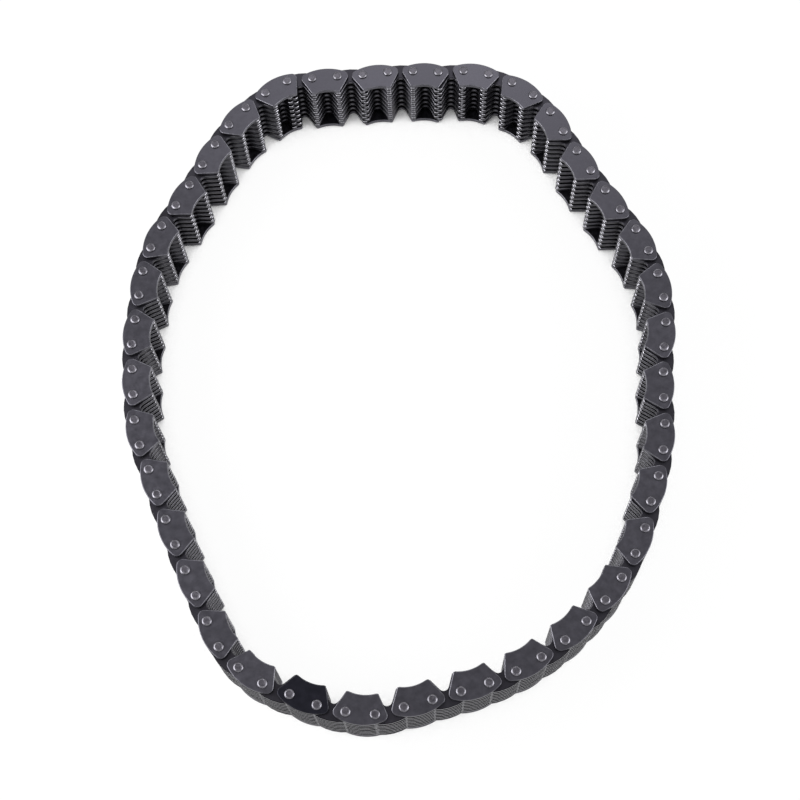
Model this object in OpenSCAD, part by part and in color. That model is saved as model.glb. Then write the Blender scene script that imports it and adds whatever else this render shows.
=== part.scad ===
// Inverted-tooth chain loop for a power take-off drive, lying on its side.
// Every second link is a guide link: two guide plates outside, toothed plates between,
// and two pins through them all. The links between are inner links, whose toothed
// plates lie between the guide link's plates and turn on its pins.
// Millimetres, +Z up, pins upright, origin at the middle of the loop on the surface
// that the lower pin heads stand on.

/* [Chain] */
// Distance between neighbouring pins
pitch = 9.525; // [8.5:0.025:12.7]
// Thickness of every plate
plate_t = 1.45; // [1:0.05:2.5]
// Air between one plate and the next in the stack
plate_gap = 0.045; // [0.04:0.005:0.2]
// Toothed plates in an inner link
inner_count = 8; // [3:1:12]

/* [Plate outline] */
// Height of the arched back behind the pin line, at mid plate
back_h = 3.8; // [3.2:0.05:4.6]
// Radius of the arched back
back_r = 17.2; // [12:0.1:30]
// How far the flank stands beyond the pin, measured on the pin line
flank_reach = 4.3; // [3.6:0.05:4.5]
// Slant of the outer flanks
flank_angle = 30; // [24:0.5:33]
// Radius of the plate's ends, between flank and back
end_r = 2; // [1.2:0.05:2.4]
// Height of the toe tips above the pin line
toe_h = 6.7; // [5.5:0.05:7.2]
// Width of the flat on each toe tip
toe_w = 1.4; // [0.9:0.05:2]
// Radius on the corners of a toe tip and of a guide plate
tip_r = 0.35; // [0.2:0.05:0.45]
// Height of the crotch root above the pin line
crotch_h = 1.85; // [1:0.05:2.6]
// Radius of the crotch root
crotch_r = 1.7; // [1:0.05:2]
// Depth of the hollow in the guide plate's inner edge
hollow_d = 0.8; // [0.3:0.05:1.5]
// Width of the straight edge between a guide plate's corner and the hollow
corner_w = 0.7; // [0.6:0.05:1.5]

/* [Pins] */
// Diameter of a pin
pin_d = 2.9; // [2:0.05:3.1]
// Diameter of the closed head at each end of a pin
head_d = 3.4; // [3.2:0.05:4.2]
// Height of a pin head
head_h = 0.7; // [0.4:0.05:1.5]
// Rounding of a pin head's rim
head_r = 0.25; // [0.1:0.05:0.35]
// Radial clearance of a pin in its own guide link
pin_fit = 0.03; // [0.025:0.005:0.1]
// Radial clearance of a pin in an inner link, where it turns
turn_fit = 0.05; // [0.03:0.005:0.15]
// Radial clearance at the pivot that is open, where the loop is joined
open_fit = 0.15; // [0.1:0.01:0.2]
// Play between a pin head and the guide plate that it holds
head_gap = 0.03; // [0.025:0.005:0.2]

/* [Lay] */
// Direction of the joining link, in degrees from +X
first_heading = -24.5; // [-180:0.5:180]

/* [Hidden] */
$fn = 64;
// How the loop lies: runs of [pivots, bend of each in degrees], towards the teeth if
// positive, going round from the joining link. They add up to one whole turn.
RUNS = [
    [2, 8], [1, 19], [3, 1], [7, 6], [2, 8], [1, -4], [3, 6], [3, -2], [5, 8], [5, -1],
    [5, 13], [1, -6], [2, 5], [1, -4], [2, 2], [1, 26], [3, 9], [1, 4], [3, -1], [3, 8],
    [2, 1], [1, 8], [2, 1], [2, 8], [1, -2], [6, 1], [1, 18], [2, 12], [1, 0]
];
// Links in a repeat: a guide link, an inner link, and a pair that share a piece
REPEAT = 4;
// How far a cutting tool runs past what it cuts
OVER = 1;
// Corrections that bring the loop's end onto its start
CORRECTIONS = 5;

// Heights in the stack
STACK = 2 * inner_count + 1;
STEP = plate_t + plate_gap;
STACK_Z = head_h + head_gap;
STACK_H = STACK * plate_t + (STACK - 1) * plate_gap;
CHAIN_H = STACK_H + 2 * STACK_Z;

// Plate outline: the left flank line, its outward normal and its direction
FLANK_FOOT = [-flank_reach, 0];
FLANK_OUT = [-cos(flank_angle), sin(flank_angle)];
FLANK_UP = [sin(flank_angle), cos(flank_angle)];
FLANK_LOW = FLANK_FOOT - (back_h + OVER) / cos(flank_angle) * FLANK_UP;
BACK_C = [pitch / 2, back_r - back_h];
// Centre of the rounded end, which touches the flank and the back
END_FROM = FLANK_FOOT - end_r * FLANK_OUT - BACK_C;
END_HALF = END_FROM * FLANK_UP;
END_S = -END_HALF - sqrt(END_HALF * END_HALF - END_FROM * END_FROM + pow(back_r - end_r, 2));
END_C = BACK_C + END_FROM + END_S * FLANK_UP;
END_ON_FLANK = END_C + end_r * FLANK_OUT;
END_ON_BACK = BACK_C + back_r * unit(END_C - BACK_C);
// Toe tip, from the outer flank's corner to the inner flank's
TOE_OUT = [toe_h * tan(flank_angle) - flank_reach, toe_h];
TOE_IN = TOE_OUT + [toe_w, 0];
// Crotch root circle, and the inner flank that runs from the toe tip to touch it
CROTCH_C = [pitch / 2, crotch_h + crotch_r];
CROTCH_SIDE = CROTCH_C - TOE_IN;
INNER_DIR = atan2(CROTCH_SIDE[1], CROTCH_SIDE[0]) - asin(crotch_r / norm(CROTCH_SIDE));
INNER_DOWN = [cos(INNER_DIR), sin(INNER_DIR)];
CROTCH_TOUCH = TOE_IN + INNER_DOWN * (CROTCH_SIDE * INNER_DOWN);
CROTCH_MOUTH = TOE_IN - OVER * INNER_DOWN;
// Hollow in the guide plate's inner edge
HOLLOW_HALF = pitch / 2 - TOE_OUT[0] - corner_w;
HOLLOW_R = (HOLLOW_HALF * HOLLOW_HALF + hollow_d * hollow_d) / (2 * hollow_d);

// Lay of the loop: headings of the links, closed by a smooth correction
BENDS = [for (r = RUNS) each [for (i = [1 : r[0]]) r[1]]];
LINKS = len(BENDS);
ROUGH = [for (i = 0, h = first_heading; i < LINKS; h = h + BENDS[i], i = i + 1) h];
function swayed(b) =
    [for (i = [0 : LINKS - 1]) ROUGH[i] + b[0] * cos(360 * i / LINKS) + b[1] * sin(360 * i / LINKS)];
function sum(list, i = 0) = i == len(list) ? 0 * list[0] : list[i] + sum(list, i + 1);
function slope(h, part) =
    sum([for (i = [0 : LINKS - 1]) part(360 * i / LINKS) * PI / 180 * [-sin(h[i]), cos(h[i])]]);
function newton(b, gap, u, v) =
    b - [gap[0] * v[1] - gap[1] * v[0], u[0] * gap[1] - u[1] * gap[0]] / (u[0] * v[1] - u[1] * v[0]);
function settled(b, left) =
    left == 0 ? b
    : let (h = swayed(b), gap = sum([for (a = h) [cos(a), sin(a)]]))
      settled(newton(b, gap, slope(h, function (a) cos(a)), slope(h, function (a) sin(a))), left - 1);
HEADINGS = swayed(settled([0, 0], CORRECTIONS));
function along(a) = pitch * [cos(a), sin(a)];
WALK = [for (i = 0, p = [0, 0]; i < LINKS; p = p + along(HEADINGS[i]), i = i + 1) p];
MIDDLE = [for (k = [0, 1]) (max([for (p = WALK) p[k]]) + min([for (p = WALK) p[k]])) / 2];
PINS = [for (p = WALK) p - MIDDLE];

function unit(v) = v / norm(v);
function mirrored(p) = [pitch - p[0], p[1]];
function wrap(i) = (i + LINKS) % LINKS;
function numbered(name, i) = str(name, i < 10 ? "0" : "", i);

JOINING = [
    "joining_plates", "joining_guide_top", "joining_guide_bottom",
    "joining_pin_a", "joining_pin_b"
];
GUIDE_AT = [REPEAT : REPEAT : LINKS - 1];
INNER_AT = [1 : REPEAT : LINKS - 1];
PAIR_AT = [2 : REPEAT : LINKS - 1];

// What a rounding of radius r takes off outside its circle, between two points of touch
module round_waste(centre, touch_a, touch_b, r) {
    difference() {
        polygon([
            centre, touch_a, 3 * touch_a - 2 * centre,
            3 * touch_b - 2 * centre, touch_b
        ]);
        translate(centre) circle(r);
    }
}

// The same for a straight corner at k, whose edges run along directions u and v
module corner_waste(k, u, v, r) {
    half = acos(u * v) / 2;
    round_waste(k + unit(u + v) * r / sin(half), k + u * r / tan(half), k + v * r / tan(half), r);
}

// Everything that is mirrored from one end of a plate to the other
module both_ends() {
    children();
    translate([pitch, 0]) mirror([1, 0]) children();
}

// Outline that toothed plates and guide plates share: arched back, round ends, flanks
module blank() {
    difference() {
        intersection() {
            translate(BACK_C) circle(back_r, $fn = 180);
            polygon([FLANK_LOW, TOE_OUT, mirrored(TOE_OUT), mirrored(FLANK_LOW)]);
        }
        both_ends() {
            round_waste(END_C, END_ON_FLANK, END_ON_BACK, end_r);
            corner_waste(TOE_OUT, -FLANK_UP, [1, 0], tip_r);
        }
    }
}

module pin_holes(left_r, right_r) {
    circle(left_r);
    translate([pitch, 0]) circle(right_r);
}

// Toothed plate: two toes that seat in the sprocket, with the crotch between them
module toothed_plate(left_r, right_r) {
    linear_extrude(plate_t) difference() {
        blank();
        pin_holes(left_r, right_r);
        translate(CROTCH_C) circle(crotch_r);
        polygon([
            CROTCH_C, CROTCH_TOUCH, CROTCH_MOUTH,
            mirrored(CROTCH_MOUTH), mirrored(CROTCH_TOUCH)
        ]);
        both_ends() corner_waste(TOE_IN, [-1, 0], INNER_DOWN, tip_r);
    }
}

// Guide plate: no teeth, so that it laps the side of the sprocket
module guide_plate() {
    linear_extrude(plate_t) difference() {
        blank();
        pin_holes(pin_d / 2 + pin_fit, pin_d / 2 + pin_fit);
        translate([pitch / 2, toe_h - hollow_d + HOLLOW_R]) circle(HOLLOW_R, $fn = 180);
    }
}

// Half section of a pin head, closed over the guide plate, with its rim rounded
module head_section() {
    square([head_d / 2 - head_r, head_h]);
    translate([0, head_r]) square([head_d / 2, head_h - head_r]);
    translate([head_d / 2 - head_r, head_r]) circle(head_r);
}

// Pin with a closed head at both ends, turned about its own axis
module pin() {
    rotate_extrude() {
        square([pin_d / 2, CHAIN_H]);
        head_section();
        translate([0, CHAIN_H]) mirror([0, 1]) head_section();
    }
}

// Puts a child in a link's own frame: first pin at the origin, next pin along +X
module at_link(i) {
    translate(PINS[i]) rotate(HEADINGS[i]) children();
}

module layer(k) {
    translate([0, 0, STACK_Z + k * STEP]) children();
}

module guide_row(i) {
    color("#47464b") at_link(i) for (k = [2 : 2 : STACK - 3])
        layer(k) toothed_plate(pin_d / 2 + pin_fit, pin_d / 2 + pin_fit);
}

module guide_plates(i, layers, tint) {
    color(tint) at_link(i) for (k = layers) layer(k) guide_plate();
}

module link_pin(i) {
    color("#77757c") translate(PINS[wrap(i)]) pin();
}

module guide_link(i) {
    guide_row(i);
    guide_plates(i, [0, STACK - 1], "#57565c");
    link_pin(i);
    link_pin(i + 1);
}

module inner_link(i) {
    last_fit = i == LINKS - 1 ? open_fit : turn_fit;
    color("#47464b") at_link(i) for (k = [1 : 2 : STACK - 2])
        layer(k) toothed_plate(pin_d / 2 + turn_fit, pin_d / 2 + last_fit);
}

module link_pair(i) {
    guide_link(i);
    inner_link(i + 1);
}

guide_row(0);  // joining_plates
guide_plates(0, [STACK - 1], "#1d1c1f");  // joining_guide_top
guide_plates(0, [0], "#57565c");  // joining_guide_bottom
link_pin(0);  // joining_pin_a
link_pin(1);  // joining_pin_b
for (i = GUIDE_AT) guide_link(i);
for (i = INNER_AT) inner_link(i);
for (i = PAIR_AT) link_pair(i);
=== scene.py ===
"""Looks of a power take-off chain: an inverted-tooth drive chain that lies on its side in a closed loop.

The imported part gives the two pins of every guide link. Each link is then built on its own two pins from
the outlines of its plates, and its plates and pins are set out in rows. Lengths are millimetres unless a
name ends in _m, and everything that reaches a mesh is turned to metres.
"""

from __future__ import annotations

import logging
import math
from dataclasses import dataclass, field
from enum import Enum

import bmesh
import bpy
from mathutils import Matrix, Vector

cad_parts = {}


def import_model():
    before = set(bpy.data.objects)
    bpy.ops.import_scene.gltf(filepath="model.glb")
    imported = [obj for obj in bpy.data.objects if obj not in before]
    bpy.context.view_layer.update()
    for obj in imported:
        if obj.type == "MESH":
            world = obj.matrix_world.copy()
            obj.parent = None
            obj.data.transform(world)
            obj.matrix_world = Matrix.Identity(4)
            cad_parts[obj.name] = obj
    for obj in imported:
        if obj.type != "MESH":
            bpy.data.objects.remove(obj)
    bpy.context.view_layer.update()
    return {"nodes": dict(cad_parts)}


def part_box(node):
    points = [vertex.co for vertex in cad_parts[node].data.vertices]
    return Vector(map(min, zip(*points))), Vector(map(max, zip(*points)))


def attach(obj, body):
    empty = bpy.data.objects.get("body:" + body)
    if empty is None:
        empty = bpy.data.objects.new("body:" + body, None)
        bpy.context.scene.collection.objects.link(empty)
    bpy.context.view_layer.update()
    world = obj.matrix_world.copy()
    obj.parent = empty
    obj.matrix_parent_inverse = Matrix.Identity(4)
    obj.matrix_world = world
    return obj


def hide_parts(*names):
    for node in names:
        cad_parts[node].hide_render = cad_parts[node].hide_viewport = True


log = logging.getLogger("chain")

MM = 0.001
WHITE = (1.0, 1.0, 1.0, 1.0)


def linear(code: str) -> tuple[float, float, float, float]:
    """Turn an sRGB hex colour into linear light.

    Args:
        code: Six hex digits, such as "8a8c90".

    Returns:
        Red, green, blue and an alpha of 1.
    """
    parts = [int(code[i:i + 2], 16) / 255 for i in (0, 2, 4)]
    red, green, blue = (c / 12.92 if c <= 0.04045 else ((c + 0.055) / 1.055) ** 2.4 for c in parts)
    return red, green, blue, 1.0


def add(tree: bpy.types.NodeTree, kind: str, settings: dict | None = None, **links) -> bpy.types.Node:
    """Add one node to a tree, with its settings and what feeds it.

    Args:
        tree: The node tree.
        kind: Blender's name for the kind of node.
        settings: Attributes to set on the node.
        **links: An input's name, with _ for each space, or i and its number, and either a socket to
            link from or a value.

    Returns:
        The new node.
    """
    node = tree.nodes.new(kind)
    for key, value in (settings or {}).items():
        setattr(node, key, value)
    for key, value in links.items():
        number = key[1:]
        socket = node.inputs[int(number)] if number.isdigit() else node.inputs[key.replace("_", " ")]
        if isinstance(value, bpy.types.NodeSocket):
            tree.links.new(value, socket)
        else:
            socket.default_value = value
    return node


class Slot(Enum):
    """Names of material slots, which the rows take but do not use."""

    PLATE = "plate_steel"
    GUIDE = "guide_steel"
    PIN = "pin_steel"
    BLACK = "black_plate_steel"


@dataclass(frozen=True)
class DarkSteel:
    """Stamped steel with a dark skin from heat treatment and oil, rubbed bright where it is touched, with
    glints painted on the bright edges and shade painted into the seams.

    The rub value scales how bare the rubbed edges and their painted glints get, and patch_floor is the
    share of it that is left where the patches are dark. A span is the part of a noise that is stretched
    over the whole effect.
    """

    name: str
    skin: str
    rubbed_and_glint: str
    roughness: float
    rubbed_roughness: float
    mottle: float
    mottle_mm: float = 2.6
    grain_mm: float = 0.35
    grain_height_mm: float = 0.012
    rub_and_painted_light: float = 1.0
    patch_floor: float = 0.55
    patch_detail: float = 4.0
    patch_roughness: float = 0.62
    grain_detail: float = 2.0
    grain_roughness: float = 0.5
    patch_span: tuple[float, float] = (0.3, 0.7)
    worn_span: tuple[float, float] = (0.35, 0.6)
    grain_span: tuple[float, float] = (0.38, 0.62)
    plate_tones: tuple[float, float] = (0.9, 1.12)
    seam_oil_and_shade_tone: float = 0.2
    broken_edge: float = 0.45
    smoother: float = 0.05
    rougher: float = 0.06
    bump: float = 0.5

    def build(self) -> bpy.types.Material:
        """Make the material: skin, mottling, rubbed edges with painted glints, seams with painted shade,
        and fine grain.

        Returns:
            The material, which reads Object coordinates, the mesh's wear with its painted glints and
            painted seam shade, and the random shade of each plate.
        """
        made = bpy.data.materials.new(self.name)
        made.use_nodes = True
        tree = made.node_tree
        tree.nodes.clear()
        place = add(tree, "ShaderNodeTexCoord").outputs["Object"]
        # patches of oil and scale a few millimetres across, which keep a large flat from looking painted
        patches = add(tree, "ShaderNodeTexNoise", Vector=place, Scale=1 / (self.mottle_mm * MM),
                      Detail=self.patch_detail, Roughness=self.patch_roughness).outputs["Fac"]
        # tumbled grain of the stamping, drawn at about the smallest size that shows
        grain = add(tree, "ShaderNodeTexNoise", Vector=place, Scale=1 / (self.grain_mm * MM),
                    Detail=self.grain_detail, Roughness=self.grain_roughness).outputs["Fac"]
        wear_and_painted_light = add(tree, "ShaderNodeAttribute", {"attribute_name": "wear_and_painted_light"}).outputs["Fac"]
        shade = add(tree, "ShaderNodeAttribute", {"attribute_name": "shade"}).outputs["Fac"]
        tone = add(tree, "ShaderNodeMapRange", Value=patches, From_Min=self.patch_span[0],
                   From_Max=self.patch_span[1], To_Min=1 - self.mottle,
                   To_Max=1 + self.mottle).outputs["Result"]
        plate_tone = add(tree, "ShaderNodeMapRange", Value=shade, To_Min=self.plate_tones[0],
                         To_Max=self.plate_tones[1]).outputs["Result"]
        both = add(tree, "ShaderNodeMath", {"operation": "MULTIPLY"}, i0=tone,
                   i1=plate_tone).outputs["Value"]
        # a value below 0 is a seam between plates, darkened for the oil that gathers there and as painted
        # shade between the plates
        oil_and_painted_shade = add(tree, "ShaderNodeMapRange", Value=wear_and_painted_light, From_Min=-1.0, From_Max=0.0,
                  To_Min=self.seam_oil_and_shade_tone, To_Max=1.0).outputs["Result"]
        both = add(tree, "ShaderNodeMath", {"operation": "MULTIPLY"}, i0=both, i1=oil_and_painted_shade).outputs["Value"]
        skin = add(tree, "ShaderNodeMix", {"data_type": "RGBA", "blend_type": "MULTIPLY"}, i0=1.0,
                   i6=linear(self.skin), i7=both).outputs[2]
        # the rubbed edge, with the glints painted on it, comes and goes with the grain, as a tumbled edge
        # does
        broken = add(tree, "ShaderNodeMapRange", Value=grain, From_Min=self.grain_span[0],
                     From_Max=self.grain_span[1], To_Min=self.broken_edge,
                     To_Max=1.0).outputs["Result"]
        bare_and_glint = add(tree, "ShaderNodeMath", {"operation": "MULTIPLY", "use_clamp": True},
                   i0=wear_and_painted_light, i1=broken).outputs["Value"]
        worn = add(tree, "ShaderNodeMapRange", Value=patches, From_Min=self.worn_span[0],
                   From_Max=self.worn_span[1], To_Min=self.patch_floor * self.rub_and_painted_light,
                   To_Max=self.rub_and_painted_light).outputs["Result"]
        bare_and_glint = add(tree, "ShaderNodeMath", {"operation": "MULTIPLY", "use_clamp": True},
                   i0=bare_and_glint, i1=worn).outputs["Value"]
        colour = add(tree, "ShaderNodeMix", {"data_type": "RGBA"}, i0=bare_and_glint, i6=skin,
                     i7=linear(self.rubbed_and_glint)).outputs[2]
        rough = add(tree, "ShaderNodeMapRange", Value=patches, From_Min=self.patch_span[0],
                    From_Max=self.patch_span[1], To_Min=self.roughness - self.smoother,
                    To_Max=self.roughness + self.rougher).outputs["Result"]
        rough = add(tree, "ShaderNodeMix", {"data_type": "FLOAT"}, i0=bare_and_glint, i2=rough,
                    i3=self.rubbed_roughness).outputs[0]
        bump = add(tree, "ShaderNodeBump", Height=grain, Strength=self.bump,
                   Distance=self.grain_height_mm * MM).outputs["Normal"]
        shader = add(tree, "ShaderNodeBsdfPrincipled", Base_Color=colour, Metallic=1.0,
                     Roughness=rough, Normal=bump)
        add(tree, "ShaderNodeOutputMaterial", Surface=shader.outputs["BSDF"])
        return made


class Finish(Enum):
    """The finishes of the chain, one for each kind of piece."""

    # case-hardened spring steel strip, stamped and tumbled: near black between edges that are rubbed
    # bright and carry painted glints
    TOOTHED = DarkSteel("oiled_stamped_steel", "2c2b30", "b4b3ba", 0.40, 0.28, 0.16)
    # the same strip on the outside of the chain, where handling wears the edges to a thin pale line, made
    # brighter by painted glints
    GUIDE = DarkSteel("tumbled_guide_steel", "403f45", "aeadb5", 0.36, 0.28, 0.15)
    # ground pin steel, a little paler, with heads that the closing tool left mottled
    PIN = DarkSteel("ground_pin_steel", "444248", "b9b8bf", 0.38, 0.24, 0.28, mottle_mm=0.8)
    # black oxide, the blackest of them, on the one plate that marks the joining link
    BLACK = DarkSteel("black_oxide_steel", "1d1d23", "8b8a90", 0.38, 0.3, 0.12, rub_and_painted_light=0.6)


def arc(centre: Vector, start: Vector, end: Vector, steps: int) -> list[Vector]:
    """Points on the short arc between two points that are equally far from its centre.

    Args:
        centre: Centre of the arc.
        start: First point.
        end: Last point.
        steps: Chords along the arc.

    Returns:
        One point more than there are steps.
    """
    first = math.atan2(start.y - centre.y, start.x - centre.x)
    last = math.atan2(end.y - centre.y, end.x - centre.x)
    turn = (last - first + math.pi) % math.tau - math.pi
    radius = (start - centre).length
    angles = [first + turn * i / steps for i in range(steps + 1)]
    return [centre + radius * Vector((math.cos(a), math.sin(a))) for a in angles]


def rounded(corner: Vector, before: Vector, after: Vector, radius: float, steps: int) -> list[Vector]:
    """A corner of an outline, rounded.

    Args:
        corner: The sharp corner.
        before: The outline's point before it.
        after: The outline's point after it.
        radius: Radius of the rounding.
        steps: Chords round the corner.

    Returns:
        The points that take the corner's place.
    """
    u, v = (before - corner).normalized(), (after - corner).normalized()
    half = u.angle(v) / 2
    centre = corner + (u + v).normalized() * radius / math.sin(half)
    touch = radius / math.tan(half)
    return arc(centre, corner + u * touch, corner + v * touch, steps)


@dataclass(frozen=True)
class PlateShape:
    """Outline of the plates in a link's own frame.

    The first pin is at the origin, the next one along +X, and the teeth at +Y.
    """

    pitch: float = 9.525
    thickness: float = 1.45
    hole_radius: float = 1.48
    back_height: float = 3.8
    back_radius: float = 17.2
    flank_reach: float = 4.3
    flank_angle: float = 30.0
    end_radius: float = 2.0
    toe_height: float = 6.7
    toe_width: float = 1.4
    tip_radius: float = 0.35
    crotch_height: float = 1.85
    crotch_radius: float = 1.7
    hollow_depth: float = 0.8
    hollow_side: float = 0.7

    @property
    def upward(self) -> Vector:
        """Direction of the left flank, from the plate's end to its toe."""
        slant = math.radians(self.flank_angle)
        return Vector((math.sin(slant), math.cos(slant)))

    @property
    def outward(self) -> Vector:
        """Normal of the left flank."""
        return Vector((-self.upward.y, self.upward.x))

    @property
    def back_centre(self) -> Vector:
        """Centre of the arched back."""
        return Vector((self.pitch / 2, self.back_radius - self.back_height))

    @property
    def end_centre(self) -> Vector:
        """Centre of the round end, which touches the flank and the back."""
        start = Vector((-self.flank_reach, 0.0)) - self.end_radius * self.outward - self.back_centre
        half = start.dot(self.upward)
        inner = self.back_radius - self.end_radius
        reach = -half - math.sqrt(half * half - start.dot(start) + inner ** 2)
        return self.back_centre + start + reach * self.upward

    @property
    def foot(self) -> Vector:
        """Where the round end crosses the pin line."""
        centre = self.end_centre
        return centre - Vector((math.sqrt(self.end_radius ** 2 - centre.y ** 2), centre.y))

    @property
    def toe_outside(self) -> Vector:
        """Outer corner of the left toe."""
        return Vector((self.toe_height * math.tan(math.radians(self.flank_angle)) - self.flank_reach,
                       self.toe_height))

    def back_half(self, end_steps: int, back_steps: int) -> list[Vector]:
        """Left half of the outline below the pin line.

        Args:
            end_steps: Chords round the plate's end.
            back_steps: Chords along half of the arched back.

        Returns:
            Points from the pin line to the middle of the back.
        """
        end, back = self.end_centre, self.back_centre
        on_back = back + self.back_radius * (end - back).normalized()
        middle = Vector((self.pitch / 2, -self.back_height))
        return arc(end, self.foot, on_back, end_steps) + arc(back, on_back, middle, back_steps)[1:]

    def flank(self, end_steps: int) -> list[Vector]:
        """The round end above the pin line, as far as the straight flank."""
        on_flank = self.end_centre + self.end_radius * self.outward
        return arc(self.end_centre, self.foot, on_flank, end_steps)

    def toothed_half(self, tip_steps: int, crotch_steps: int) -> list[Vector]:
        """Left half of a toothed plate above the pin line.

        Args:
            tip_steps: Chords round each corner of the toe.
            crotch_steps: Chords round half of the crotch.

        Returns:
            Points from the pin line to the root of the crotch.
        """
        outside = self.toe_outside
        inside = outside + Vector((self.toe_width, 0.0))
        centre = Vector((self.pitch / 2, self.crotch_height + self.crotch_radius))
        side = centre - inside
        down = math.atan2(side.y, side.x) - math.asin(self.crotch_radius / side.length)
        along = Vector((math.cos(down), math.sin(down)))
        touch = inside + along * side.dot(along)
        root = centre - Vector((0.0, self.crotch_radius))
        return [*self.flank(tip_steps),
                *rounded(outside, outside - self.upward, inside, self.tip_radius, tip_steps),
                *rounded(inside, outside, touch, self.tip_radius, tip_steps),
                *arc(centre, touch, root, crotch_steps)]

    def guide_half(self, tip_steps: int, hollow_steps: int) -> list[Vector]:
        """Left half of a guide plate above the pin line.

        Args:
            tip_steps: Chords round the corner.
            hollow_steps: Chords along half of the hollow.

        Returns:
            Points from the pin line to the middle of the hollow.
        """
        outside = self.toe_outside
        half = self.pitch / 2 - outside.x - self.hollow_side
        radius = (half ** 2 + self.hollow_depth ** 2) / (2 * self.hollow_depth)
        start = Vector((self.pitch / 2 - half, self.toe_height))
        bottom = Vector((self.pitch / 2, self.toe_height - self.hollow_depth))
        return [*self.flank(tip_steps),
                *rounded(outside, outside - self.upward, start, self.tip_radius, tip_steps),
                *arc(bottom + Vector((0.0, radius)), start, bottom, hollow_steps)]

    def mirrored(self, points: list[Vector]) -> list[Vector]:
        """The same points on the other half of the plate, in the opposite order."""
        return [Vector((self.pitch - p.x, p.y)) for p in reversed(points)]


@dataclass(frozen=True)
class RubAndPaintedLight:
    """How bare the steel is along a plate's edge, with painted light on it: -1 for oil with painted
    shade, 0 for dark skin and 1 for bright metal with painted glints.
    """

    tip: float
    tip_rim: float
    back: float
    back_rim: float
    root: float
    flank: float
    flank_rim: float
    tip_reach: float = 1.8
    root_half: float = 0.75


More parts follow.
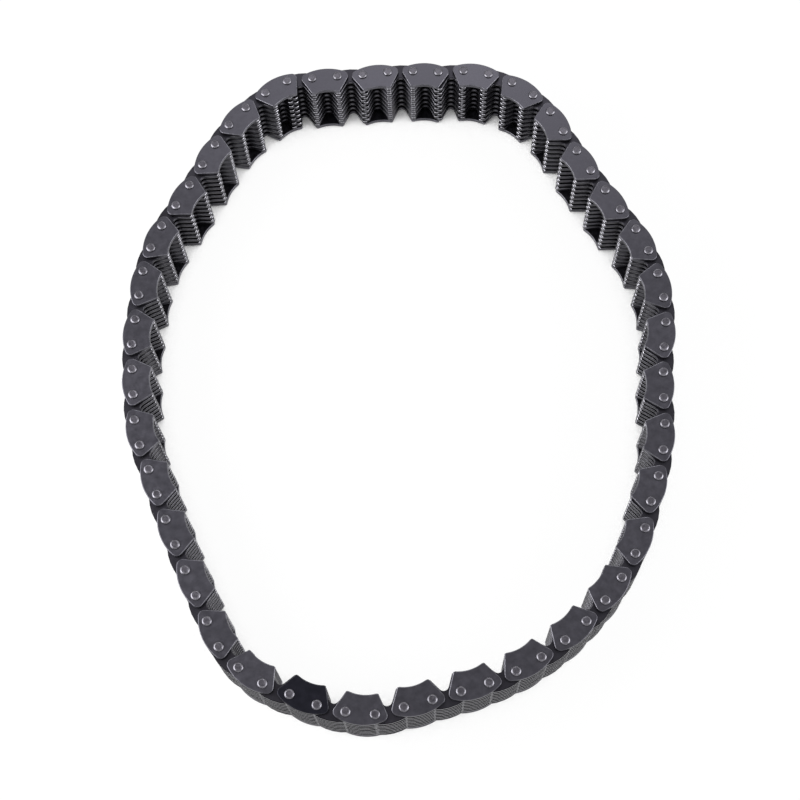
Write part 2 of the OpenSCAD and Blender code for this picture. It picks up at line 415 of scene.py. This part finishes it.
@dataclass
class PlateMaker:
    """Turns an outline into a plate with rounded rims and two pin holes."""

    shape: PlateShape
    rim: float
    rim_steps: int
    hole_steps: int
    rub_and_painted_light: RubAndPaintedLight

    def ring(self, upper: list[Vector], lower: list[Vector]) -> tuple[list[Vector], int]:
        """Join the half outlines into a closed ring.

        Args:
            upper: Left half above the pin line, from the round end.
            lower: Left half below it, from the same point.

        Returns:
            The ring, which starts on the pin line at the left end and goes over the toes first, and the
            place in it of the right end.
        """
        over = upper + self.shape.mirrored(upper)[1:]
        under = self.shape.mirrored(lower)[::-1] + lower[::-1][1:]
        return over + under[1:-1], len(over) - 1

    def inset(self, ring: list[Vector], depth: float) -> list[Vector]:
        """The ring moved inwards.

        Args:
            ring: The outline, clockwise.
            depth: How far every edge moves.

        Returns:
            A ring of as many points.
        """
        moved = []
        for i, point in enumerate(ring):
            before = (point - ring[i - 1]).normalized()
            after = (ring[(i + 1) % len(ring)] - point).normalized()
            n1, n2 = Vector((before.y, -before.x)), Vector((after.y, -after.x))
            moved.append(point + (n1 + n2) * depth / (1 + n1.dot(n2)))
        return moved

    def levels(self) -> list[tuple[float, float]]:
        """Inset and height of each ring, from the bottom face to the top face."""
        quarter = [math.radians(90 * k / self.rim_steps) for k in range(self.rim_steps + 1)]
        low = [(self.rim * (1 - math.sin(a)), self.rim * (1 - math.cos(a))) for a in quarter]
        return low + [(d, self.shape.thickness - z) for d, z in reversed(low)]

    def rub_and_painted_light_at(self, place: Vector, on_rim: bool) -> float:
        """How rubbed the edge of the plate is, with painted glints near the toes and painted shade in the
        seams.

        Args:
            place: Middle of a face of the edge, in the link's frame.
            on_rim: Whether the face is on the rounded rim and not on the straight side.

        Returns:
            -1 for oil with painted shade, 0 for dark skin and 1 for bare metal with painted glints.
        """
        rub_and_painted_light = self.rub_and_painted_light
        if place.y < 0:
            return rub_and_painted_light.back_rim if on_rim else rub_and_painted_light.back
        below_tip = self.shape.toe_height - place.y
        if on_rim:
            share = max(0.0, 1 - below_tip / rub_and_painted_light.tip_reach)
            return rub_and_painted_light.flank_rim + (rub_and_painted_light.tip_rim - rub_and_painted_light.flank_rim) * share
        if below_tip < self.shape.tip_radius:
            return rub_and_painted_light.tip
        beside = abs(place.x - self.shape.pitch / 2)
        return rub_and_painted_light.root if beside < rub_and_painted_light.root_half else rub_and_painted_light.flank

    def mesh(self, name: str, upper: list[Vector], lower: list[Vector]) -> bpy.types.Mesh:
        """Build the plate, lying on z = 0.

        Args:
            name: Name of the mesh.
            upper: Left half of the outline above the pin line.
            lower: Left half below it.

        Returns:
            A closed mesh in metres, with a value on each face for wear, painted glints and painted seam
            shade.
        """
        outline, right = self.ring(upper, lower)
        body = bmesh.new()
        wear_and_painted_light = body.faces.layers.float.new("wear_and_painted_light")

        def row(points: list[Vector], z: float) -> list[bmesh.types.BMVert]:
            """Vertices of one ring."""
            return [body.verts.new((p.x * MM, p.y * MM, z * MM)) for p in points]

        def wall(low: list[bmesh.types.BMVert],
                 high: list[bmesh.types.BMVert]) -> list[bmesh.types.BMFace]:
            """Faces between two rings that go clockwise."""
            count = len(low)
            return [body.faces.new((low[i], high[i], high[(i + 1) % count], low[(i + 1) % count]))
                    for i in range(count)]

        rings = [row(self.inset(outline, depth), z) for depth, z in self.levels()]
        for k in range(len(rings) - 1):
            for i, face in enumerate(wall(rings[k], rings[k + 1])):
                face.smooth = True
                place = (outline[i] + outline[(i + 1) % len(outline)]) / 2
                face[wear_and_painted_light] = self.rub_and_painted_light_at(place, k != self.rim_steps)
        holes = []
        for x in (0.0, self.shape.pitch):
            turn = [math.tau * i / self.hole_steps for i in range(self.hole_steps)]
            radius = self.shape.hole_radius
            circle = [Vector((x + radius * math.cos(a), radius * math.sin(a))) for a in turn]
            pair = [row(circle, 0.0), row(circle, self.shape.thickness)]
            wall(*pair)
            holes.append(pair)
        half = self.hole_steps // 2
        for top in (0, 1):
            edge = rings[-top]
            first, last = holes[0][top], holes[1][top]
            over = edge[:right + 1] + last[:half + 1] + first[:half + 1]
            under = edge[right:] + [edge[0]] + first[half:] + [first[0]] + last[half:] + [last[0]]
            for loop in (over, under):
                body.faces.new(loop if top else reversed(loop))
        bmesh.ops.recalc_face_normals(body, faces=body.faces)
        mesh = bpy.data.meshes.new(name)
        body.to_mesh(mesh)
        body.free()
        return mesh


@dataclass(frozen=True)
class PinShape:
    """Pin with a closed head at both ends, and its outline from the axis to the middle of its length.

    The shoulder is rim wide, and its slope goes from rim_start to rim_end, in degrees.
    """

    radius: float = 1.45
    head_radius: float = 1.7
    head_height: float = 0.7
    rim: float = 0.53
    rim_steps: int = 5
    rim_start: float = 20.0
    rim_end: float = 60.0
    crater_radius: float = 0.98
    crater_depth: float = 0.07
    crater_slope: float = 0.13
    steps: int = 32
    crater_wear: float = 0.05
    slope_wear: float = 0.1
    flat_wear: float = 0.25
    shoulder_wear: float = 0.3
    side_wear: float = 0.2

    def half_profile(self) -> list[tuple[float, float, float]]:
        """Radius, height and wear of each ring, from the lower end up to the shank."""
        flat = self.head_radius - self.rim
        points = [(self.crater_radius, self.crater_depth, self.crater_wear),
                  (self.crater_radius + self.crater_slope, 0.0, self.slope_wear),
                  (flat, 0.0, self.flat_wear)]
        # the closing tool leaves a shoulder that starts at one slope and ends at a steeper one
        first, last = math.radians(self.rim_start), math.radians(self.rim_end)
        bend = self.rim / (math.sin(last) - math.sin(first))
        for k in range(1, self.rim_steps + 1):
            a = first + (last - first) * k / self.rim_steps
            points.append((flat + bend * (math.sin(a) - math.sin(first)),
                           bend * (math.cos(first) - math.cos(a)), self.shoulder_wear))
        return points + [(self.head_radius, self.head_height, self.side_wear),
                         (self.radius, self.head_height, 0.0)]

    def mesh(self, name: str, length: float) -> bpy.types.Mesh:
        """Build the pin, standing on z = 0.

        Args:
            name: Name of the mesh.
            length: Length over both heads.

        Returns:
            A closed mesh in metres, with a wear value on each face.
        """
        low = self.half_profile()
        rows = low + [(r, length - z, w) for r, z, w in reversed(low)]
        body = bmesh.new()
        wear_and_painted_light = body.faces.layers.float.new("wear_and_painted_light")
        rings = []
        for radius, z, _ in rows:
            turn = [math.tau * i / self.steps for i in range(self.steps)]
            rings.append([body.verts.new((radius * math.cos(a) * MM, radius * math.sin(a) * MM, z * MM))
                          for a in turn])
        for k in range(len(rings) - 1):
            for i in range(self.steps):
                j = (i + 1) % self.steps
                face = body.faces.new((rings[k][i], rings[k][j], rings[k + 1][j], rings[k + 1][i]))
                face.smooth = True
                face[wear_and_painted_light] = (rows[k][2] + rows[k + 1][2]) / 2
        for ring in (rings[0], rings[-1]):
            face = body.faces.new(ring)
            face[wear_and_painted_light] = low[0][2]
        bmesh.ops.recalc_face_normals(body, faces=body.faces)
        mesh = bpy.data.meshes.new(name)
        body.to_mesh(mesh)
        body.free()
        return mesh


class RowTree:
    """Geometry Nodes that set one piece out in a row in a link's frame, each copy with a little play."""

    INPUTS = (
        ("Count", "NodeSocketInt"), ("First", "NodeSocketVector"), ("Step", "NodeSocketVector"),
        ("Place", "NodeSocketVector"), ("Heading", "NodeSocketFloat"), ("Play", "NodeSocketFloat"),
        ("Tilt", "NodeSocketFloat"), ("Seed", "NodeSocketInt"), ("Finish", "NodeSocketMaterial"),
    )

    def __init__(self) -> None:
        """Build the tree once, for every row of the chain."""
        tree = bpy.data.node_groups.new("row_of_pieces", "GeometryNodeTree")
        face = tree.interface
        face.new_socket("Geometry", in_out="OUTPUT", socket_type="NodeSocketGeometry")
        face.new_socket("Geometry", in_out="INPUT", socket_type="NodeSocketGeometry")
        self.keys = {name: face.new_socket(name, in_out="INPUT", socket_type=kind).identifier
                     for name, kind in self.INPUTS}
        given = add(tree, "NodeGroupInput").outputs
        line = add(tree, "GeometryNodeMeshLine", {"mode": "OFFSET"}, Count=given["Count"],
                   Start_Location=given["First"], Offset=given["Step"])
        copies = add(tree, "GeometryNodeInstanceOnPoints", Points=line.outputs["Mesh"],
                     Instance=given["Geometry"]).outputs["Instances"]
        tilt_low = add(tree, "ShaderNodeMath", {"operation": "MULTIPLY"}, i0=given["Tilt"], i1=-1.0)
        tilt = add(tree, "FunctionNodeRandomValue", {"data_type": "FLOAT"}, i2=tilt_low.outputs[0],
                   i3=given["Tilt"], Seed=given["Seed"]).outputs[1]
        turned = add(tree, "GeometryNodeRotateInstances", Instances=copies,
                     Rotation=add(tree, "ShaderNodeCombineXYZ", Z=tilt).outputs[0]).outputs[0]
        low = add(tree, "ShaderNodeMath", {"operation": "MULTIPLY"}, i0=given["Play"],
                  i1=-1.0).outputs[0]
        slack = add(tree, "FunctionNodeRandomValue", {"data_type": "FLOAT_VECTOR"},
                    i0=add(tree, "ShaderNodeCombineXYZ", X=low, Y=low).outputs[0],
                    i1=add(tree, "ShaderNodeCombineXYZ", X=given["Play"], Y=given["Play"]).outputs[0],
                    Seed=given["Seed"]).outputs[0]
        moved = add(tree, "GeometryNodeTranslateInstances", Instances=turned,
                    Translation=slack).outputs[0]
        shade = add(tree, "FunctionNodeRandomValue", {"data_type": "FLOAT"},
                    Seed=given["Seed"]).outputs[1]
        shaded = add(tree, "GeometryNodeStoreNamedAttribute",
                     {"data_type": "FLOAT", "domain": "INSTANCE"},
                     Geometry=moved, Name="shade", Value=shade).outputs[0]
        placed = add(tree, "GeometryNodeTransform", Geometry=shaded, Translation=given["Place"],
                     Rotation=add(tree, "ShaderNodeCombineXYZ",
                                  Z=given["Heading"]).outputs[0]).outputs[0]
        real = add(tree, "GeometryNodeRealizeInstances", Geometry=placed).outputs[0]
        dressed = add(tree, "GeometryNodeSetMaterial", Geometry=real,
                      Material=given["Finish"]).outputs[0]
        add(tree, "NodeGroupOutput", Geometry=dressed)
        self.tree = tree

    def lay(self, name: str, piece: bpy.types.Mesh, values: dict[str, object]) -> bpy.types.Object:
        """Set a piece out in a row and make the row one plain mesh.

        Args:
            name: Name of the new object.
            piece: Mesh of one piece.
            values: A value for each of the tree's inputs.

        Returns:
            The object, in place in the row frame.
        """
        carrier = bpy.data.objects.new(name + "_carrier", piece)
        bpy.context.scene.collection.objects.link(carrier)
        modifier = carrier.modifiers.new("row", "NODES")
        modifier.node_group = self.tree
        for key, value in values.items():
            modifier[self.keys[key]] = value
        graph = bpy.context.evaluated_depsgraph_get()
        mesh = bpy.data.meshes.new_from_object(carrier.evaluated_get(graph), depsgraph=graph)
        mesh.name = name
        carrier.modifiers.remove(modifier)
        bpy.data.objects.remove(carrier)
        made = bpy.data.objects.new(name, mesh)
        bpy.context.scene.collection.objects.link(made)
        return made


@dataclass(frozen=True)
class GuideLink:
    """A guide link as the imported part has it: its number, the body it rides on, and its two pins."""

    number: int
    body: str
    start: Vector
    end: Vector


class Lay:
    """Where the links lie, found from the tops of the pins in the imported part."""

    JOINING = ("joining_pin_a", "joining_pin_b")
    FACE_SLACK_M = 1e-5

    def __init__(self, nodes: dict[str, bpy.types.Object]) -> None:
        """Find the guide links, in order round the loop.

        Args:
            nodes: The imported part's objects by name.
        """
        ends = [self.middle(nodes[name]) for name in self.JOINING]
        self.guides = [GuideLink(0, "joining_link", *ends)]
        held = sorted((n for n in nodes if n.startswith(("guide_link", "link_pair"))),
                      key=lambda n: int(n.rsplit("_", 1)[1]))
        for name in held:
            near, far = sorted(self.pin_tops(nodes[name]),
                               key=lambda p: (p - self.guides[-1].end).length)
            self.guides.append(GuideLink(int(name.rsplit("_", 1)[1]), name, near, far))

    @staticmethod
    def middle(node: bpy.types.Object) -> Vector:
        """Middle of a node, seen from above, in millimetres."""
        low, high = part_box(node.name)
        return ((low + high) / 2 / MM).xy

    def pin_tops(self, node: bpy.types.Object) -> list[Vector]:
        """Centres of the two pin heads on top of a node.

        Args:
            node: A node that holds one guide link.

        Returns:
            Two points, seen from above, in millimetres.
        """
        top = max(v.co.z for v in node.data.vertices)
        face = [v.co.xy / MM for v in node.data.vertices if v.co.z > top - self.FACE_SLACK_M]
        one = face[0]
        other = max(face, key=lambda p: (p - one).length)
        groups = [[p for p in face if (p - a).length <= (p - b).length]
                  for a, b in ((one, other), (other, one))]
        return [Vector(((min(p.x for p in g) + max(p.x for p in g)) / 2,
                        (min(p.y for p in g) + max(p.y for p in g)) / 2)) for g in groups]


@dataclass
class Chain:
    """The whole chain: plates and pins of every link, set out in rows and dressed."""

    lay: Lay
    rows: RowTree
    shape: PlateShape = field(default_factory=PlateShape)
    pin: PinShape = field(default_factory=PinShape)
    plate_gap: float = 0.045
    inner_plates: int = 8
    head_gap: float = 0.03
    play: float = 0.02
    tilt_deg: float = 0.25

    def __post_init__(self) -> None:
        """Make one mesh of each kind of piece, and the finishes."""
        # toothed plates: toe rims are rubbed bright and carry painted glints, crotch roots and backs are
        # rubbed paler and painted lighter where light catches them, and back rims get dark oil and
        # painted shade
        toothed = PlateMaker(self.shape, rim=0.2, rim_steps=1, hole_steps=8,
                             rub_and_painted_light=RubAndPaintedLight(tip=0.08, tip_rim=1.0, back=0.48, back_rim=-1.0, root=0.22,
                                     flank=0.1, flank_rim=0.0, tip_reach=2.6))
        # guide plates: rims are worn pale and carry painted glints at the ends and flanks
        guide = PlateMaker(self.shape, rim=0.28, rim_steps=3, hole_steps=24,
                           rub_and_painted_light=RubAndPaintedLight(tip=0.3, tip_rim=0.2, back=0.25, back_rim=0.08, root=0.1,
                                   flank=0.1, flank_rim=0.3))
        self.toothed = toothed.mesh("toothed_plate",
                                    self.shape.toothed_half(tip_steps=1, crotch_steps=3),
                                    self.shape.back_half(end_steps=2, back_steps=3))
        self.guide = guide.mesh("guide_plate",
                                self.shape.guide_half(tip_steps=4, hollow_steps=8),
                                self.shape.back_half(end_steps=10, back_steps=14))
        self.pin_mesh = self.pin.mesh("pin", self.height)
        self.finishes = {finish: finish.value.build() for finish in Finish}
        self.count = 0

    @property
    def step(self) -> float:
        """Height of one plate and the air above it."""
        return self.shape.thickness + self.plate_gap

    @property
    def foot(self) -> float:
        """Height of the lowest plate's underside."""
        return self.pin.head_height + self.head_gap

    @property
    def stack(self) -> int:
        """Plates in the full height of the chain."""
        return 2 * self.inner_plates + 1

    @property
    def height(self) -> float:
        """Length of a pin over its heads."""
        return self.stack * self.shape.thickness + (self.stack - 1) * self.plate_gap + 2 * self.foot

    def row(self, name: str, piece: bpy.types.Mesh, finish: Finish, slot: Slot, body: str,
            nodes: tuple[str, ...], start: Vector, end: Vector, count: int, first: tuple, step: tuple,
            play: float) -> None:
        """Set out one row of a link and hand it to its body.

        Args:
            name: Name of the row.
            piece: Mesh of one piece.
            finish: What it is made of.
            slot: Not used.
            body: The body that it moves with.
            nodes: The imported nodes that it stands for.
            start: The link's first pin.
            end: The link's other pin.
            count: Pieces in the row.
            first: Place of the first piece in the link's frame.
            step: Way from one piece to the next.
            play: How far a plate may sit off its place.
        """
        self.count += 1
        along = end - start
        values = {
            "Count": count, "First": [c * MM for c in first], "Step": [c * MM for c in step],
            "Place": (start.x * MM, start.y * MM, 0.0), "Heading": math.atan2(along.y, along.x),
            "Play": play * MM, "Tilt": math.radians(self.tilt_deg) if play else 0.0,
            "Seed": self.count, "Finish": self.finishes[finish],
        }
        made = self.rows.lay(name, piece, values)
        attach(made, body)
        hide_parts(*nodes)
        log.info("%s: %d pieces on %s", name, count, body)

    def toothed_row(self, number: int, body: str, nodes: tuple[str, ...], start: Vector,
                    end: Vector) -> None:
        """Toothed plates of one link: an even link is a guide link, and an odd one an inner link."""
        inner = number % 2 == 1
        layer = 1 if inner else 2
        self.row(f"toothed_plates_{number:02d}", self.toothed, Finish.TOOTHED, Slot.PLATE, body, nodes,
                 start, end, self.inner_plates if inner else self.inner_plates - 1,
                 (0.0, 0.0, self.foot + layer * self.step), (0.0, 0.0, 2 * self.step), self.play)

    def guide_row(self, name: str, link: GuideLink, nodes: tuple[str, ...], layer: int, count: int,
                  finish: Finish, slot: Slot) -> None:
        """Guide plates of one link, from a layer of the stack upwards."""
        top = (self.stack - 1) * self.step
        self.row(name, self.guide, finish, slot, link.body, nodes, link.start, link.end, count,
                 (0.0, 0.0, self.foot + layer * self.step), (0.0, 0.0, top), 0.0)

    def pins(self, name: str, link: GuideLink, nodes: tuple[str, ...], first: int, count: int) -> None:
        """Pins of one link, from its first or its second pin on."""
        self.row(name, self.pin_mesh, Finish.PIN, Slot.PIN, link.body, nodes, link.start, link.end,
                 count, (first * self.shape.pitch, 0.0, 0.0), (self.shape.pitch, 0.0, 0.0), 0.0)

    def joining_link(self, link: GuideLink) -> None:
        """The link with the black plate, whose pieces are nodes of their own."""
        self.toothed_row(0, link.body, ("joining_plates",), link.start, link.end)
        self.guide_row("joining_guide_bottom_plate", link, ("joining_guide_bottom",), layer=0, count=1,
                       finish=Finish.GUIDE, slot=Slot.GUIDE)
        self.guide_row("joining_guide_top_plate", link, ("joining_guide_top",), layer=self.stack - 1,
                       count=1, finish=Finish.BLACK, slot=Slot.BLACK)
        self.pins("joining_pin_a_steel", link, ("joining_pin_a",), first=0, count=1)
        self.pins("joining_pin_b_steel", link, ("joining_pin_b",), first=1, count=1)

    def guide_link(self, link: GuideLink) -> None:
        """An ordinary guide link."""
        nodes = (link.body,)
        self.toothed_row(link.number, link.body, nodes, link.start, link.end)
        self.guide_row(f"guide_plates_{link.number:02d}", link, nodes, layer=0, count=2,
                       finish=Finish.GUIDE, slot=Slot.GUIDE)
        self.pins(f"pins_{link.number:02d}", link, nodes, first=0, count=2)

    def build(self) -> None:
        """Build every link, going round the loop."""
        guides = self.lay.guides
        for place, link in enumerate(guides):
            if link.number == 0:
                self.joining_link(link)
            else:
                self.guide_link(link)
            after = guides[(place + 1) % len(guides)]
            number = link.number + 1
            # a pair's inner link is held on its guide link, and the others move by themselves
            body = link.body if link.body.startswith("link_pair") else f"inner_link_{number:02d}"
            self.toothed_row(number, body, (body,), link.end, after.start)
        for piece in (self.toothed, self.guide, self.pin_mesh):
            bpy.data.meshes.remove(piece)


@dataclass(frozen=True)
class SoftBox:
    """A square soft light that looks at the loop, placed by its direction and its distance."""

    name: str
    azimuth: float
    elevation: float
    distance_m: float
    size_m: float
    watts: float

    def build(self) -> None:
        """Hang the light. Azimuth 0 is on the camera's side and 90 on the right."""
        around, up = math.radians(self.azimuth), math.radians(self.elevation)
        way = Vector((math.sin(around) * math.cos(up), -math.cos(around) * math.cos(up), math.sin(up)))
        data = bpy.data.lights.new(self.name, "AREA")
        data.size = self.size_m
        data.energy = self.watts
        lamp = bpy.data.objects.new(self.name, data)
        lamp.location = way * self.distance_m
        lamp.rotation_mode = "QUATERNION"
        lamp.rotation_quaternion = way.to_track_quat("Z", "Y")
        bpy.context.scene.collection.objects.link(lamp)
        log.info("soft box %s", self.name)


@dataclass
class Studio:
    """Plain white sweep, soft lights and the camera."""

    floor_half_m: float = 3.0
    floor_glow: float = 0.95
    contact_reach_m: float = 0.02
    contact_dark: float = 0.26
    contact_clear: float = 0.46
    contact_samples: int = 6
    floor_colour: str = "f8f8f8"
    world_fill: float = 0.45
    target: Vector = field(default_factory=lambda: Vector((-1.04, -13.01, 26.83)))
    camera_elevation: float = 68.96
    camera_distance: float = 523.2
    camera_roll: float = -3.45
    focal_px: float = 1515.8
    frame_px: float = 800.0
    sensor_mm: float = 36.0
    lights: tuple[SoftBox, ...] = (
        SoftBox("back_box", 174, 45, 1.0, 0.45, 2.1),
        SoftBox("left_box", -85, 24, 0.42, 0.44, 3.8),
        SoftBox("right_box", 78, 19, 1.0, 0.85, 12.5),
        SoftBox("front_box", 10, 22, 0.9, 0.35, 0.35),
    )

    def seen(self, tree: bpy.types.NodeTree) -> bpy.types.NodeSocket:
        """1 for a ray that shows the backdrop itself: from the camera, a reflection or a clear body."""
        path = add(tree, "ShaderNodeLightPath").outputs
        either = add(tree, "ShaderNodeMath", {"operation": "MAXIMUM"}, i0=path["Is Camera Ray"],
                     i1=path["Is Glossy Ray"]).outputs[0]
        return add(tree, "ShaderNodeMath", {"operation": "MAXIMUM"}, i0=either,
                   i1=path["Is Transmission Ray"]).outputs[0]

    def build_world(self) -> None:
        """White where it is seen, and a dimmer fill on the object."""
        world = bpy.data.worlds.new("white_sweep")
        bpy.context.scene.world = world
        world.use_nodes = True
        tree = world.node_tree
        tree.nodes.clear()
        strength = add(tree, "ShaderNodeMapRange", Value=self.seen(tree), To_Min=self.world_fill,
                       To_Max=1.0).outputs["Result"]
        sky = add(tree, "ShaderNodeBackground", Color=WHITE, Strength=strength)
        add(tree, "ShaderNodeOutputWorld", Surface=sky.outputs[0])

    def build_floor(self) -> None:
        """A pale floor that glows white where it is seen and keeps the chain's shadow."""
        half = self.floor_half_m
        mesh = bpy.data.meshes.new("floor")
        mesh.from_pydata([(-half, -half, 0), (half, -half, 0), (half, half, 0), (-half, half, 0)], [],
                         [(0, 1, 2, 3)])
        floor = bpy.data.objects.new("floor", mesh)
        bpy.context.scene.collection.objects.link(floor)
        paper = bpy.data.materials.new("white_sweep_paper")
        paper.use_nodes = True
        tree = paper.node_tree
        tree.nodes.clear()
        # the glow fades where little of the sky is seen, so the notches between the toes stay in shadow
        sky = add(tree, "ShaderNodeAmbientOcclusion", {"samples": self.contact_samples},
                  Distance=self.contact_reach_m).outputs["AO"]
        open_share = add(tree, "ShaderNodeMapRange", {"interpolation_type": "SMOOTHSTEP"}, Value=sky,
                         From_Min=self.contact_dark, From_Max=self.contact_clear,
                         To_Max=self.floor_glow).outputs["Result"]
        share = add(tree, "ShaderNodeMath", {"operation": "MULTIPLY"}, i0=self.seen(tree),
                    i1=open_share).outputs[0]
        matt = add(tree, "ShaderNodeBsdfDiffuse", Color=linear(self.floor_colour)).outputs[0]
        glow = add(tree, "ShaderNodeEmission", Color=WHITE, Strength=1.0).outputs[0]
        mixed = add(tree, "ShaderNodeMixShader", i0=share, i1=matt, i2=glow).outputs[0]
        add(tree, "ShaderNodeOutputMaterial", Surface=mixed)
        mesh.materials.append(paper)

    def build_camera(self) -> None:
        """The photograph's view, with the image taken to be 800 pixels each way."""
        up = math.radians(self.camera_elevation)
        roll = math.radians(self.camera_roll)
        ahead = Vector((0.0, math.cos(up), -math.sin(up)))
        right = Vector((1.0, 0.0, 0.0))
        above = right.cross(ahead)
        across = right * math.cos(roll) + above * math.sin(roll)
        top = above * math.cos(roll) - right * math.sin(roll)
        data = bpy.data.cameras.new("camera")
        data.lens = self.sensor_mm * self.focal_px / self.frame_px
        data.sensor_width = self.sensor_mm
        camera = bpy.data.objects.new("camera", data)
        turn = Matrix((across, top, -ahead)).transposed().to_4x4()
        eye = self.target - ahead * self.camera_distance
        camera.matrix_world = Matrix.Translation(eye * MM) @ turn
        bpy.context.scene.collection.objects.link(camera)
        bpy.context.scene.camera = camera

    def build(self) -> None:
        """Build the whole studio."""
        self.build_world()
        self.build_floor()
        for light in self.lights:
            light.build()
        self.build_camera()
        bpy.context.scene.view_settings.view_transform = "Standard"


def main() -> None:
    """Load the frame, build the studio and the chain."""
    logging.basicConfig(level=logging.INFO, format="%(name)s: %(message)s")
    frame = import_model()
    Studio().build()
    Chain(Lay(frame["nodes"]), RowTree()).build()
    log.info("sizes written")


if __name__ == "__main__":
    main()
